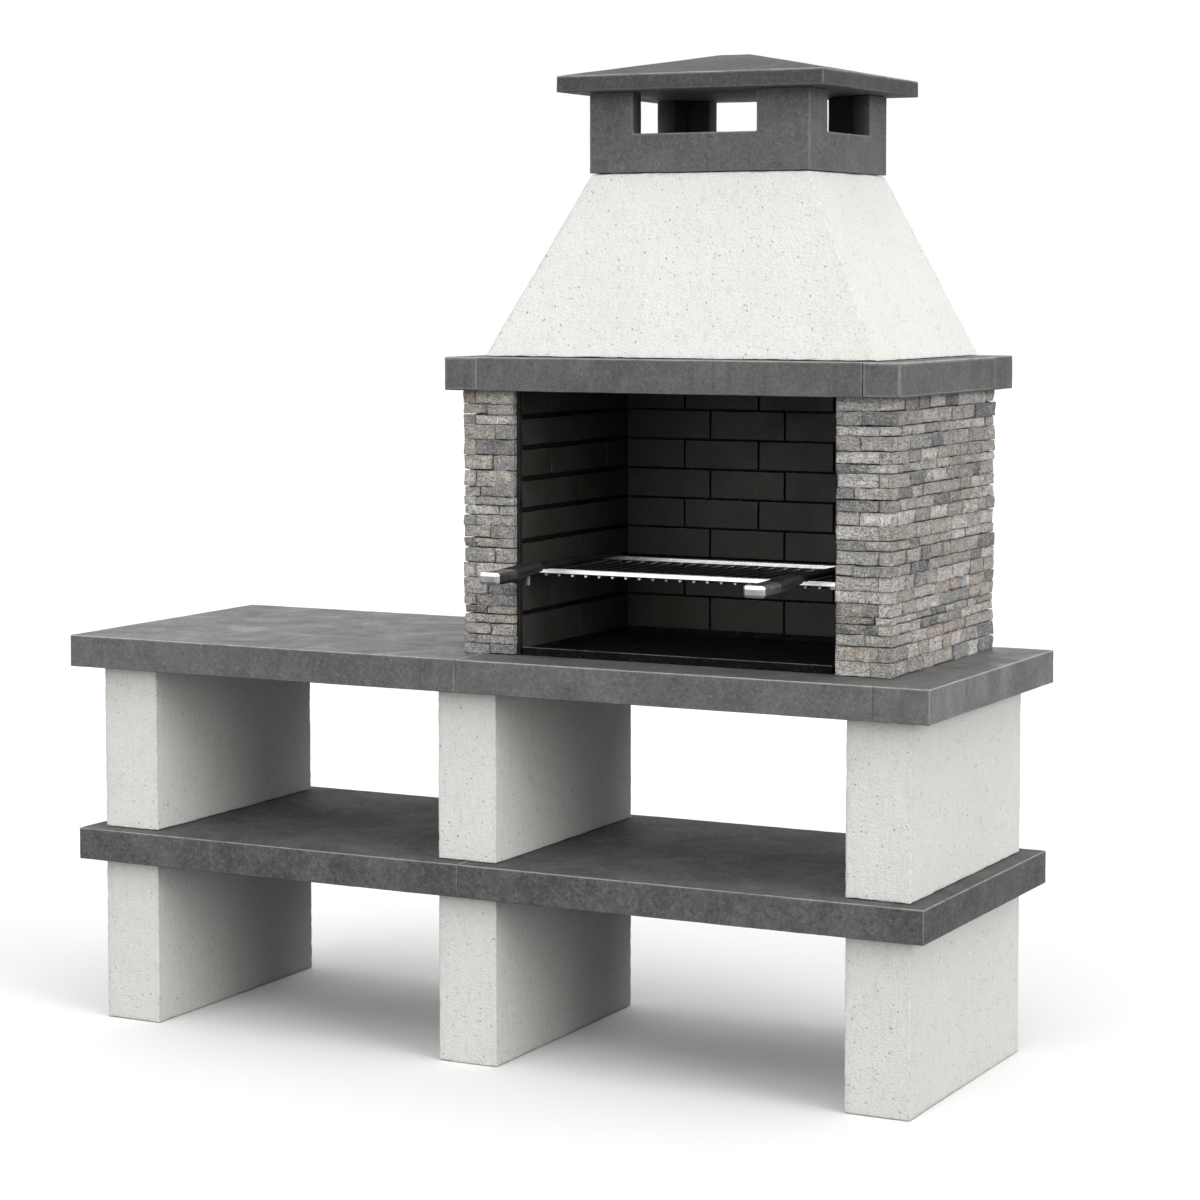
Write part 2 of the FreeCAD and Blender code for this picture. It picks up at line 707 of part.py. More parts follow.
# Chimney collar: a square sleeve whose sides open into windows below the roof
def make_collar():
    at = (f"{CENTRE} - {COLLAR_LENGTH} / 2", f"{HOOD_TOP_FRONT} - Size.collar_overhang", COLLAR_Z)
    body = new_body("chimney_collar", *at)
    wall = "Size.collar_wall"
    base = new_sketch(body, "XY_Plane")
    draw_rectangle(base, COLLAR_LENGTH, COLLAR_DEPTH)
    pad(body, base, "Size.collar_height")
    flue = new_sketch(body, "XY_Plane", "Size.collar_height")
    draw_rectangle(flue, f"({COLLAR_LENGTH} - 2 * {wall})", f"({COLLAR_DEPTH} - 2 * {wall})", wall, wall)
    cut_through(body, flue)
    tall = "(Size.collar_height - Size.collar_sill)"
    front = new_sketch(body, "XZ_Plane")
    wide = f"({COLLAR_LENGTH} - Size.collar_left_post - Size.collar_right_post)"
    draw_rectangle(front, wide, tall, "Size.collar_left_post", "Size.collar_sill")
    cut_through(body, front)
    flank = new_sketch(body, "YZ_Plane")
    wide = f"({COLLAR_DEPTH} - 2 * Size.collar_side_post)"
    draw_rectangle(flank, wide, tall, "Size.collar_side_post", "Size.collar_sill")
    cut_through(body, flank, backwards=True)


# Roof cap: a straight fascia under a low hipped top with a small flat
def make_roof():
    front = f"{HOOD_TOP_FRONT} - Size.collar_overhang - Size.roof_overhang"
    body = new_body("roof_cap", f"{CENTRE} - {ROOF_LENGTH} / 2", front, ROOF_Z)
    fascia = new_sketch(body, "XY_Plane")
    draw_rectangle(fascia, ROOF_LENGTH, ROOF_DEPTH)
    pad(body, fascia, "Size.roof_edge")
    flat_left = f"(({ROOF_LENGTH} - Size.roof_flat_length) / 2)"
    flat_front = f"(({ROOF_DEPTH} - Size.roof_flat_depth) / 2)"
    eaves = ("0", "0", ROOF_LENGTH, ROOF_DEPTH)
    flat = (flat_left, flat_front, "Size.roof_flat_length", "Size.roof_flat_depth")
    upright_wedge(body, "Additive", eaves, flat, "Size.roof_rise", "Size.roof_edge")


# Grill bars: square bars across the front and the rear, with their edges taken off
def make_grill_bars():
    for name, y in (("front", BAR_Y), ("rear", REAR_BAR_Y)):
        at = (f"{CENTRE} - {BAR_HALF}", f"{y} - Size.bar_size / 2", f"{BAR_Z} - Size.bar_size / 2")
        size = (f"2 * {BAR_HALF}", "Size.bar_size", "Size.bar_size")
        block(f"grill_bar_{name}", at, size, "Size.bar_arris")


# Grill rods: thin rods from front to back, welded under the two bars
def make_grill_rods():
    pitch = mm("Size.rod_pitch")
    radius = mm("Size.rod_diameter / 2")
    reach = mm("Size.bar_size / 2 - Size.rod_end_inset")
    start = mm(BAR_Y) - reach
    length = mm("Size.grill_depth") + 2 * reach
    height = mm(f"{BAR_Z} - Size.bar_size / 2 - Size.weld_gap - Size.rod_diameter / 2")
    ledge_edge = mm(f"{OPENING} - Size.ledge_reach") - radius
    pairs = int((ledge_edge - radius) / pitch)
    rods = []
    for index in range(-pairs, pairs + 1):
        foot = FreeCAD.Vector(mm(CENTRE) + index * pitch, start, height)
        rods.append(Part.makeCylinder(radius, length, foot, FreeCAD.Vector(0, 1, 0)))
    group_node("grill_rods", rods)


def lengthwise(edge):
    """True for an edge that runs mainly from front to back."""
    box = edge.BoundBox
    return box.YLength > max(box.XLength, box.ZLength)


def across_front(edge):
    """True for an edge that lies in the foremost plane of a piece with its front at zero."""
    return edge.BoundBox.YMax < SAME_PLACE


# Handles: a flat shaft on the bars, a tapered grip on its tang, a metal cap and a fin below
def make_handles():
    for side in SIDES:
        centre = SHAFT_X[side]
        tang_end = f"({GRIP_BACK} - Size.tang_depth + Size.tang_clearance)"
        rear = f"({REAR_BAR_Y} + Size.bar_size / 2)"
        at = (f"{centre} - Size.shaft_width / 2", tang_end, SHAFT_Z)
        size = ("Size.shaft_width", f"({rear} - {tang_end})", "Size.shaft_height")
        block(f"handle_shaft_{side}", at, size, "Size.shaft_arris")
        make_grip(side, centre)
        make_cap(side, centre)
        make_fin(side, centre)


def make_grip(side, centre):
    low = f"{GRIP_Z} - Size.grip_height / 2"
    body = new_body(f"handle_grip_{side}", f"{centre} - Size.grip_width / 2", GRIP_Y, low)
    rear_left = "((Size.grip_width - Size.grip_rear_width) / 2)"
    rear_low = "((Size.grip_height - Size.grip_rear_height) / 2 + Size.grip_droop)"
    front = ("0", "0", "Size.grip_width", "Size.grip_height")
    rear = (rear_left, rear_low, "Size.grip_rear_width", "Size.grip_rear_height")
    taper = wedge(body, "Additive", front, rear, "Size.grip_length")
    rounding(body, taper, "Size.grip_round", lengthwise)
    socket = new_sketch(body, "XZ_Plane", "-Size.grip_length")
    wide = "(Size.shaft_width + 2 * Size.tang_clearance)"
    tall = "(Size.shaft_height + 2 * Size.tang_clearance)"
    socket_left = f"((Size.grip_width - {wide}) / 2)"
    socket_low = f"(Size.grip_height / 2 + Size.grip_droop - {tall} / 2)"
    draw_rectangle(socket, wide, tall, socket_left, socket_low)
    cut_deep(body, socket, "Size.tang_depth", backwards=True)


def make_cap(side, centre):
    low = f"{GRIP_Z} - Size.grip_height / 2"
    body = new_body(f"handle_cap_{side}", f"{centre} - Size.grip_width / 2", CAP_Y, low)
    section = new_sketch(body, "XZ_Plane", "-Size.cap_length")
    draw_rectangle(section, "Size.grip_width", "Size.grip_height")
    shape = pad(body, section, "Size.cap_length")
    shape = rounding(body, shape, "Size.grip_round", lengthwise)
    bevel(body, shape, "Size.cap_bevel", across_front)


def make_fin(side, centre):
    """A three-cornered plate that hangs from the underside of the grip."""
    rise = "(Size.grip_droop + (Size.grip_height - Size.grip_rear_height) / 2)"
    slope = f"({rise} / Size.grip_length)"
    low = f"{GRIP_Z} - Size.grip_height / 2 - Size.weld_gap - Size.fin_drop"
    body = new_body(f"handle_fin_{side}", f"{centre} - Size.fin_thickness / 2", GRIP_Y, low)
    sketch = new_sketch(body, "YZ_Plane")
    corners = [
        ("0", "Size.fin_drop"),
        ("Size.fin_length", f"Size.fin_length * {slope}"),
        ("Size.fin_length", f"Size.fin_drop + Size.fin_length * {slope}"),
    ]
    draw_outline(sketch, corners)
    pad(body, sketch, "Size.fin_thickness")


def write_parts():
    """Check every object and write each node to its own file."""
    doc.recompute()
    for item in doc.Objects:
        if {"Invalid", "Error"} & set(item.State):
            raise RuntimeError(f"{item.Label} failed: {item.State}")
    os.makedirs("parts", exist_ok=True)
    for node in nodes:
        if node.Shape.isNull() or not node.Shape.isValid():
            raise RuntimeError(f"{node.Label} has no valid shape")
    for node in nodes:
        node.Shape.exportStep(f"parts/{node.Label}.step")


make_piers()
make_shelf()
make_worktop()
make_firebox_walls()
make_mortar()
make_liners()
make_stone_cladding()
make_trims()
make_ledges()
make_tray()
make_mantel()
make_hood()
make_collar()
make_roof()
make_grill_bars()
make_grill_rods()
make_handles()
write_parts()
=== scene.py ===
import json
import math
import random
from collections import namedtuple

import bmesh
import bpy
import numpy as np
from mathutils import Euler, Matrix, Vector

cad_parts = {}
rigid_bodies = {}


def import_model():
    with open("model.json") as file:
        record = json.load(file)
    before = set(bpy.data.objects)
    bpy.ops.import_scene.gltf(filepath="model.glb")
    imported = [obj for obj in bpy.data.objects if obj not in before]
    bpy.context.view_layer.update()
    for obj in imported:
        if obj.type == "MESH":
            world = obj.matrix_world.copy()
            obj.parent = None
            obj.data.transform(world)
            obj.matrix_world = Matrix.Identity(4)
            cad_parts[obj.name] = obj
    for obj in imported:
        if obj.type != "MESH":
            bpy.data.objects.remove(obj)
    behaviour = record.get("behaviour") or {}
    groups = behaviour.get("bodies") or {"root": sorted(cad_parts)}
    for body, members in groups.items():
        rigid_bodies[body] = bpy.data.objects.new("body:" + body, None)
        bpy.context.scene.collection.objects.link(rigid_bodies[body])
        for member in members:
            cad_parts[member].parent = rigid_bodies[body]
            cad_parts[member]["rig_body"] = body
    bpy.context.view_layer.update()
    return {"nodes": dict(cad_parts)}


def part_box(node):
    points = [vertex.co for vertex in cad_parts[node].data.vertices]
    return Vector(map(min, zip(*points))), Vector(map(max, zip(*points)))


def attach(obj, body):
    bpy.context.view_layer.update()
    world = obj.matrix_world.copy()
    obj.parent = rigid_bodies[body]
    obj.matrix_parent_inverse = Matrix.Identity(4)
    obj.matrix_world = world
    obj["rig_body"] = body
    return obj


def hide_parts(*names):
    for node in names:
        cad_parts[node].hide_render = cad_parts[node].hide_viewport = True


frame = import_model()
nodes = frame["nodes"]
scene = bpy.context.scene
scene.view_settings.view_transform = "Standard"

# Points of a CAD mesh that lie nearer than this, in metres, count as one
SAME_PLACE = 1e-5


# Noise on points, used for every worn, split or uneven surface
def corner_values(cells, seed):
    """A repeatable value between -1 and 1 for each whole-numbered corner of space."""
    # large odd factors scramble the corner's place
    mask = 0xFFFFFFFF
    mixed = (cells[:, 0] * 73856093) ^ (cells[:, 1] * 19349663) ^ (cells[:, 2] * 83492791)
    mixed = (mixed ^ (seed * 2654435761)) & mask
    mixed = ((mixed ^ (mixed >> 13)) * 1274126177) & mask
    mixed = ((mixed ^ (mixed >> 15)) * 2246822519) & mask
    return ((mixed ^ (mixed >> 16)) & 0xFFFF) / 32767.5 - 1


def noise(points, size, seed):
    """Smooth noise between -1 and 1 with bumps of about the given size in metres."""
    scaled = points / size
    base = np.floor(scaled).astype(np.int64)
    part = scaled - base
    part = part * part * (3 - 2 * part)
    total = np.zeros(len(points))
    for corner in np.ndindex(2, 2, 2):
        weight = np.prod(np.where(np.array(corner) == 1, part, 1 - part), axis=1)
        total += weight * corner_values(base + np.array(corner), seed)
    return total


# Meshes
def make_object(name, points, faces, floats=None, smooth=True, crease=None):
    """A mesh object with one number per point for each named attribute.
    Edges sharper than the crease angle stay sharp in the shading."""
    mesh = bpy.data.meshes.new(name)
    mesh.from_pydata([tuple(p) for p in points], [], [tuple(f) for f in faces])
    mesh.validate()
    for label, values in (floats or {}).items():
        attribute = mesh.attributes.new(label, "FLOAT", "POINT")
        attribute.data.foreach_set("value", np.asarray(values, np.float32))
    mesh.polygons.foreach_set("use_smooth", np.full(len(mesh.polygons), smooth))
    mesh.update()
    if crease is not None:
        mesh.set_sharp_from_angle(angle=math.radians(crease))
    made = bpy.data.objects.new(name, mesh)
    scene.collection.objects.link(made)
    return made


def flat_faces(made):
    """Lets the large faces set the shading, so that rounded edges stay narrow."""
    even = made.modifiers.new("even_shading", "WEIGHTED_NORMAL")
    even.keep_sharp = True


def stands_for(made, node, material):
    """The new piece rides where the CAD node rode and takes its place."""
    made.data.materials.clear()
    made.data.materials.append(material)
    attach(made, nodes[node]["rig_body"])
    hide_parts(node)
    return made


def axis_lines(low, high, cell, radius, extra=()):
    """Grid lines along one axis: close together at both ends, where the edge is rounded."""
    ends = [0, radius * 0.35, radius, radius * 2]
    count = max(1, round((high - low - 2 * radius) / cell))
    middle = np.linspace(low + radius, high - radius, count + 1)
    lines = [low + e for e in ends] + [high - e for e in ends] + list(middle) + list(extra)
    return np.unique(np.round(lines, 6))


def box_grid(lines_x, lines_y, lines_z):
    """Points and four-sided faces of the surface of a box cut along the given lines."""
    shape = (len(lines_x), len(lines_y), len(lines_z))
    outside = np.zeros(shape, bool)
    for axis in range(3):
        for end in (0, -1):
            picked = [slice(None)] * 3
            picked[axis] = end
            outside[tuple(picked)] = True
    index = np.full(shape, -1)
    index[outside] = np.arange(outside.sum())
    grid = np.stack(np.meshgrid(lines_x, lines_y, lines_z, indexing="ij"), axis=-1)
    faces = []
    for axis in range(3):
        for end in (0, -1):
            side = np.take(index, end, axis=axis)
            quads = np.stack([side[:-1, :-1], side[1:, :-1], side[1:, 1:], side[:-1, 1:]], axis=-1)
            quads = quads.reshape(-1, 4)
            outward = (end == -1) == (axis != 1)
            faces.append(quads if outward else quads[:, ::-1])
    return grid[outside], np.concatenate(faces)


def round_box(points, low, high, radius):
    """Moves the points near the edges of a box onto rounded edges; returns them and their normals."""
    inner = np.clip(points, low + radius, high - radius)
    away = points - inner
    length = np.linalg.norm(away, axis=1, keepdims=True)
    normal = away / np.maximum(length, 1e-9)
    return inner + normal * radius, normal


def edge_distance(points, low, high):
    """How far a point of a box's surface lies from the nearest edge."""
    gaps = np.minimum(np.abs(points - low), np.abs(points - high))
    return np.sort(gaps, axis=1)[:, 1]


def wear_from(distance, reach):
    """One at an edge, falling off with the distance from it."""
    return np.exp(-np.maximum(distance, 0) / reach)


# How worn a masonry piece is, in metres: the spacing of its grid, the rounding of its edges, the
# unevenness of its faces, the depth and the size of its chips, and how far the wear reaches in
Wear = namedtuple("Wear", "cell radius swell chip chip_size reach")
BROAD_WAVES = 0.05
FINE_WAVES = 0.016
HALF_SCORE = 0.0012
SCORE_DEPTH = 0.0018


def worn_shift(points, wear, how, seed):
    """How far each point moves along its normal: uneven faces everywhere, bites near the edges."""
    waves = 0.6 * noise(points, BROAD_WAVES, seed) + 0.4 * noise(points, FINE_WAVES, seed + 1)
    coarse = noise(points, how.chip_size, seed + 2)
    fine = noise(points, how.chip_size / 2.6, seed + 3)
    bite = np.maximum(0, 0.55 * coarse + 0.6 * fine)
    return how.swell * waves - how.swell - how.chip * bite * wear


def worn_block(name, node, material, how, seed, scores=()):
    """A masonry block with rounded, chipped edges and slightly uneven faces.
    Scores are places along X where a shallow line runs down the front face."""
    low, high = (np.array(corner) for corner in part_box(node))
    extra = [x + step for x in scores for step in (-HALF_SCORE, 0, HALF_SCORE)]
    lines = []
    for axis in range(3):
        more = extra if axis == 0 else ()
        lines.append(axis_lines(low[axis], high[axis], how.cell, how.radius, more))
    points, faces = box_grid(*lines)
    distance = edge_distance(points, low, high)
    points, normal = round_box(points, low, high, how.radius)
    wear = wear_from(distance, how.reach)
    shift = worn_shift(points, wear, how, seed)
    front = (normal[:, 1] < -0.9) & (distance > how.radius)
    for x in scores:
        shift[front & (np.abs(points[:, 0] - x) < HALF_SCORE / 2)] -= SCORE_DEPTH
    points = points + normal * shift[:, None]
    made = make_object(name, points, faces, {"wear": wear})
    flat_faces(made)
    stands_for(made, node, material)


def clean_copy(node):
    """The CAD node's shape as flat many-sided faces, in a bmesh."""
    shape = bmesh.new()
    shape.from_mesh(nodes[node].data)
    bmesh.ops.remove_doubles(shape, verts=shape.verts, dist=SAME_PLACE)
    bmesh.ops.dissolve_limit(
        shape, angle_limit=math.radians(1), verts=shape.verts, edges=shape.edges
    )
    return shape


def sharp_edges(shape, least):
    """The edges where two faces turn by more than the least angle in degrees."""
    found = []
    for edge in shape.edges:
        if len(edge.link_faces) == 2 and math.degrees(edge.calc_face_angle(0)) > least:
            found.append(edge)
    return found


def distance_to_segments(points, starts, ends):
    """How far each point lies from the nearest of the given straight lines."""
    best = np.full(len(points), 1e9)
    for start, end in zip(starts, ends):
        along = end - start
        share = np.clip((points - start) @ along / (along @ along), 0, 1)
        best = np.minimum(best, np.linalg.norm(points - start - share[:, None] * along, axis=1))
    return best


def rounded_copy(node, radius, least):
    """A copy of a CAD node with its sharp edges rounded, and where those edges began and ended."""
    shape = clean_copy(node)
    sharp = sharp_edges(shape, least)
    starts = np.array([e.verts[0].co for e in sharp])
    ends = np.array([e.verts[1].co for e in sharp])
    bmesh.ops.bevel(
        shape, geom=sharp, offset=radius, offset_type="OFFSET", segments=2, profile=0.5,
        affect="EDGES", clamp_overlap=True,
    )
    return shape, starts, ends


def cut_across(shape, axis, places):
    """Cuts the faces of a shape along planes square to one axis."""
    direction = Vector([1 if i == axis else 0 for i in range(3)])
    for place in places:
        everything = shape.verts[:] + shape.edges[:] + shape.faces[:]
        bmesh.ops.bisect_plane(
            shape, geom=everything, dist=SAME_PLACE, plane_co=direction * place, plane_no=direction
        )


def take_faces(shape):
    """The faces of a shape as lists of point numbers. The shape itself is let go."""
    shape.verts.index_update()
    faces = [[v.index for v in f.verts] for f in shape.faces]
    shape.free()
    return faces


# The width of the ring of faces along each rounded edge, and the depth at which soot is full
RING = 0.004
SOOT_DEPTH = 0.03


def worn_copy(name, node, material, how, seed, sooty=False):
    """The same wear for a node of any flat-faced shape: its edges are rounded, its faces
    are cut into a grid, and the grid's points are moved. A sooty one is blackened inside."""
    shape, starts, ends = rounded_copy(node, how.radius, least=20)
    wide = [f for f in shape.faces if f.calc_area() > RING * 2 * f.calc_perimeter()]
    bmesh.ops.inset_individual(shape, faces=wide, thickness=RING, use_even_offset=True)
    low, high = (np.array(corner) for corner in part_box(node))
    for axis in range(3):
        count = max(1, round((high[axis] - low[axis]) / how.cell))
        cut_across(shape, axis, np.linspace(low[axis], high[axis], count + 1)[1:-1])
    shape.normal_update()
    points = np.array([v.co for v in shape.verts])
    normal = np.array([v.normal for v in shape.verts])
    distance = distance_to_segments(points, starts, ends)
    wear = wear_from(distance - how.radius * 0.4, how.reach)
    points = points + normal * worn_shift(points, wear, how, seed)[:, None]
    floats = {"wear": wear}
    if sooty:
        depth = np.minimum(points - low, high - points)[:, :2].min(axis=1)
        floats["soot"] = np.clip(depth / SOOT_DEPTH, 0, 1)
    made = make_object(name, points, take_faces(shape), floats, crease=32)
    flat_faces(made)
    stands_for(made, node, material)


# Node materials
class Shader:
    """A short way to add nodes to one material and to wire them."""

    def __init__(self, name):
        self.material = bpy.data.materials.new(name)
        self.material.use_nodes = True
        self.tree = self.material.node_tree
        self.surface = self.tree.nodes["Principled BSDF"]
        self.place = self.add("ShaderNodeTexCoord").outputs["Object"]

    def add(self, kind, settings=None, **sockets):
        made = self.tree.nodes.new(kind)
        for label, value in (settings or {}).items():
            setattr(made, label, value)
        for label, value in sockets.items():
            key = int(label[1:]) if label[1:].isdigit() else label
            self.put(made.inputs[key], value)
        return made

    def put(self, socket, value):
        if isinstance(value, bpy.types.NodeSocket):
            self.tree.links.new(value, socket)
        else:
            socket.default_value = value

    def stretched(self, x, y, z):
        return self.add("ShaderNodeMapping", Vector=self.place, Scale=(x, y, z)).outputs[0]

    def noise(self, scale, detail=3, rough=0.55, vector=None, twist=0.0):
        made = self.add(
            "ShaderNodeTexNoise", Vector=vector or self.place, Scale=scale, Detail=detail,
            Roughness=rough, Distortion=twist,
        )
        return made.outputs[0]

    def cells(self, scale):
        """The distance to the middle of the nearest of many small cells."""
        return self.add("ShaderNodeTexVoronoi", Vector=self.place, Scale=scale).outputs["Distance"]

    def span(self, value, low, high, to_low=0.0, to_high=1.0):
        """Maps low to to_low and high to to_high, and holds still beyond them."""
        made = self.add("ShaderNodeMapRange", {"clamp": True}, Value=value)
        limits = {"From Min": low, "From Max": high, "To Min": to_low, "To Max": to_high}
        for label, number in limits.items():
            made.inputs[label].default_value = number
        return made.outputs[0]

    def math(self, operation, first, second=0.0):
        return self.add("ShaderNodeMath", {"operation": operation}, _0=first, _1=second).outputs[0]

    def times(self, first, second):
        return self.math("MULTIPLY", first, second)

    def mix(self, share, first, second):
        made = self.add("ShaderNodeMix", {"data_type": "RGBA"})
        for index, value in ((0, share), (6, first), (7, second)):
            self.put(made.inputs[index], value)
        return made.outputs[2]

    def steps(self, value, stops):
        """One colour after another, with no blend between them."""
        made = self.add("ShaderNodeValToRGB", Fac=value)
        bar = made.color_ramp
        bar.interpolation = "CONSTANT"
        for number, (place, colour) in enumerate(stops):
            stop = bar.elements[number] if number < 2 else bar.elements.new(place)
            stop.position = place
            stop.color = colour
        return made.outputs[0]

    def number(self, label):
        return self.add("ShaderNodeAttribute", {"attribute_name": label}).outputs["Fac"]

    def facing(self, axis):
        """The surface normal's part along one axis, in the object's own frame."""
        normal = self.add("ShaderNodeTexCoord").outputs["Normal"]
        return self.add("ShaderNodeSeparateXYZ", Vector=normal).outputs[axis]

    def bump(self, height, depth, strength=1.0, before=None):
        made = self.add("ShaderNodeBump", Height=height, Distance=depth, Strength=strength)
        if before is not None:
            self.put(made.inputs["Normal"], before)
        return made.outputs[0]

    def finish(self, colour, rough, normal=None, metal=0.0, gloss=0.5):
        self.put(self.surface.inputs["Base Color"], colour)
        self.put(self.surface.inputs["Roughness"], rough)
        self.put(self.surface.inputs["Metallic"], metal)
        self.put(self.surface.inputs["Specular IOR Level"], gloss)
        if normal is not None:
            self.put(self.surface.inputs["Normal"], normal)
        return self.material


def grey(value, warm=0.0):
    """A linear grey, a little warmer or cooler."""
    return (value * (1 + warm), value, value * (1 - warm), 1)


def concrete(name, dark, light, worn_and_lit_edge, gloss, low_rough, high_rough):
    """Anthracite concrete: clouds, blotches, speckle, pits, and thin pale edges on upward faces,
    partly wear and partly a painted highlight.
    """
    s = Shader(name)
    clouds = s.noise(5.5, 6, 0.68, twist=0.8)
    blotch = s.noise(17, 7, 0.72, twist=0.5)
    mottle = s.noise(105, 5, 0.74)
    grit = s.noise(190, 3, 0.7)
    base = s.mix(s.span(clouds, 0.34, 0.66), dark, light)
    base = s.mix(s.span(blotch, 0.50, 0.72, 0.0, 0.40), base, grey(light[1] * 1.45, -0.01))
    base = s.mix(s.span(blotch, 0.49, 0.27, 0.0, 0.25), base, grey(dark[1] * 0.55, -0.01))
    base = s.mix(s.span(mottle, 0.52, 0.72, 0.0, 0.55), base, grey(light[1] * 1.6, -0.01))
    base = s.mix(s.span(mottle, 0.47, 0.27, 0.0, 0.55), base, grey(dark[1] * 0.5, -0.01))
    upright = s.math("SUBTRACT", 1.0, s.math("ABSOLUTE", s.facing(2)))
    streaks = s.noise(1.0, 4, 0.65, s.stretched(45, 45, 6))
    stain = s.times(s.span(streaks, 0.44, 0.26, 0.0, 0.35), upright)
    base = s.mix(stain, base, grey(dark[1] * 0.55))
    base = s.mix(s.span(grit, 0.45, 0.27, 0.0, 0.7), base, grey(dark[1] * 0.42))
    base = s.mix(s.span(grit, 0.58, 0.76, 0.0, 0.6), base, grey(light[1] * 2.0))
    pits = s.cells(120)
    sparse = s.span(s.noise(30, 2), 0.50, 0.58)
    holes = s.times(s.span(pits, 0.06, 0.16, 1.0, 0.0), sparse)
    base = s.mix(s.times(holes, 0.6), base, grey(dark[1] * 0.4))
    # pale edges only where the face looks up: partly real wear, partly a painted highlight where the
    # top light falls
    lit_from_above = s.span(s.facing(2), -0.3, 0.5)
    rubbed_and_lit = s.times(s.span(s.noise(24, 4, 0.7), 0.34, 0.56, 0.5, 1.0), lit_from_above)
    edge = s.times(s.span(s.number("wear"), 0.30, 0.75), rubbed_and_lit)
    base = s.mix(s.times(edge, 0.8), base, worn_and_lit_edge)
    base = s.mix(s.times(s.number("soot"), 0.85), base, grey(0.008))
    rough = s.span(s.noise(7, 6, 0.7, twist=0.6), 0.34, 0.66, low_rough, high_rough)
    normal = s.bump(mottle, 0.0012, 0.5)
    normal = s.bump(grit, 0.0008, 0.6, normal)
    normal = s.bump(holes, -0.0015, 0.8, normal)
    return s.finish(base, rough, normal, gloss=gloss)


def white_render(name, colour):
    """Bush-hammered white render: close grain with small dark pits."""
    s = Shader(name)
    clouds = s.noise(5.0, 4, 0.6)
    grain = s.noise(240, 4, 0.75)
    knots = s.cells(210)
    pits = s.cells(100)
    sparse = s.span(s.noise(60, 2), 0.50, 0.64)
    holes = s.times(s.span(pits, 0.08, 0.30, 1.0, 0.0), sparse)
    warm = tuple(c * f for c, f in zip(colour[:3], (0.965, 0.955, 0.93))) + (1,)
    base = s.mix(s.span(clouds, 0.35, 0.68), colour, warm)
    shade = tuple(c * 0.70 for c in colour[:3]) + (1,)
    base = s.mix(s.span(grain, 0.28, 0.50, 0.5, 0.0), base, shade)
    base = s.mix(s.span(knots, 0.55, 0.85, 0.0, 0.2), base, shade)
    tooling = s.noise(1.0, 3, 0.7, s.stretched(110, 110, 22))
    base = s.mix(s.span(tooling, 0.48, 0.30, 0.0, 0.3), base, shade)
    base = s.mix(s.times(holes, 0.5), base, (0.34, 0.325, 0.285, 1))
    ragged = s.times(s.number("wear"), s.span(s.noise(90, 4, 0.7), 0.38, 0.60))
    base = s.mix(s.times(ragged, 0.45), base, (0.36, 0.335, 0.29, 1))
    normal = s.bump(grain, 0.0014, 0.5)
    normal = s.bump(knots, 0.0012, 0.5, normal)
    normal = s.bump(tooling, 0.0020, 0.5, normal)
    normal = s.bump(holes, -0.0025, 0.8, normal)
    return s.finish(base, 0.9, normal, gloss=0.2)


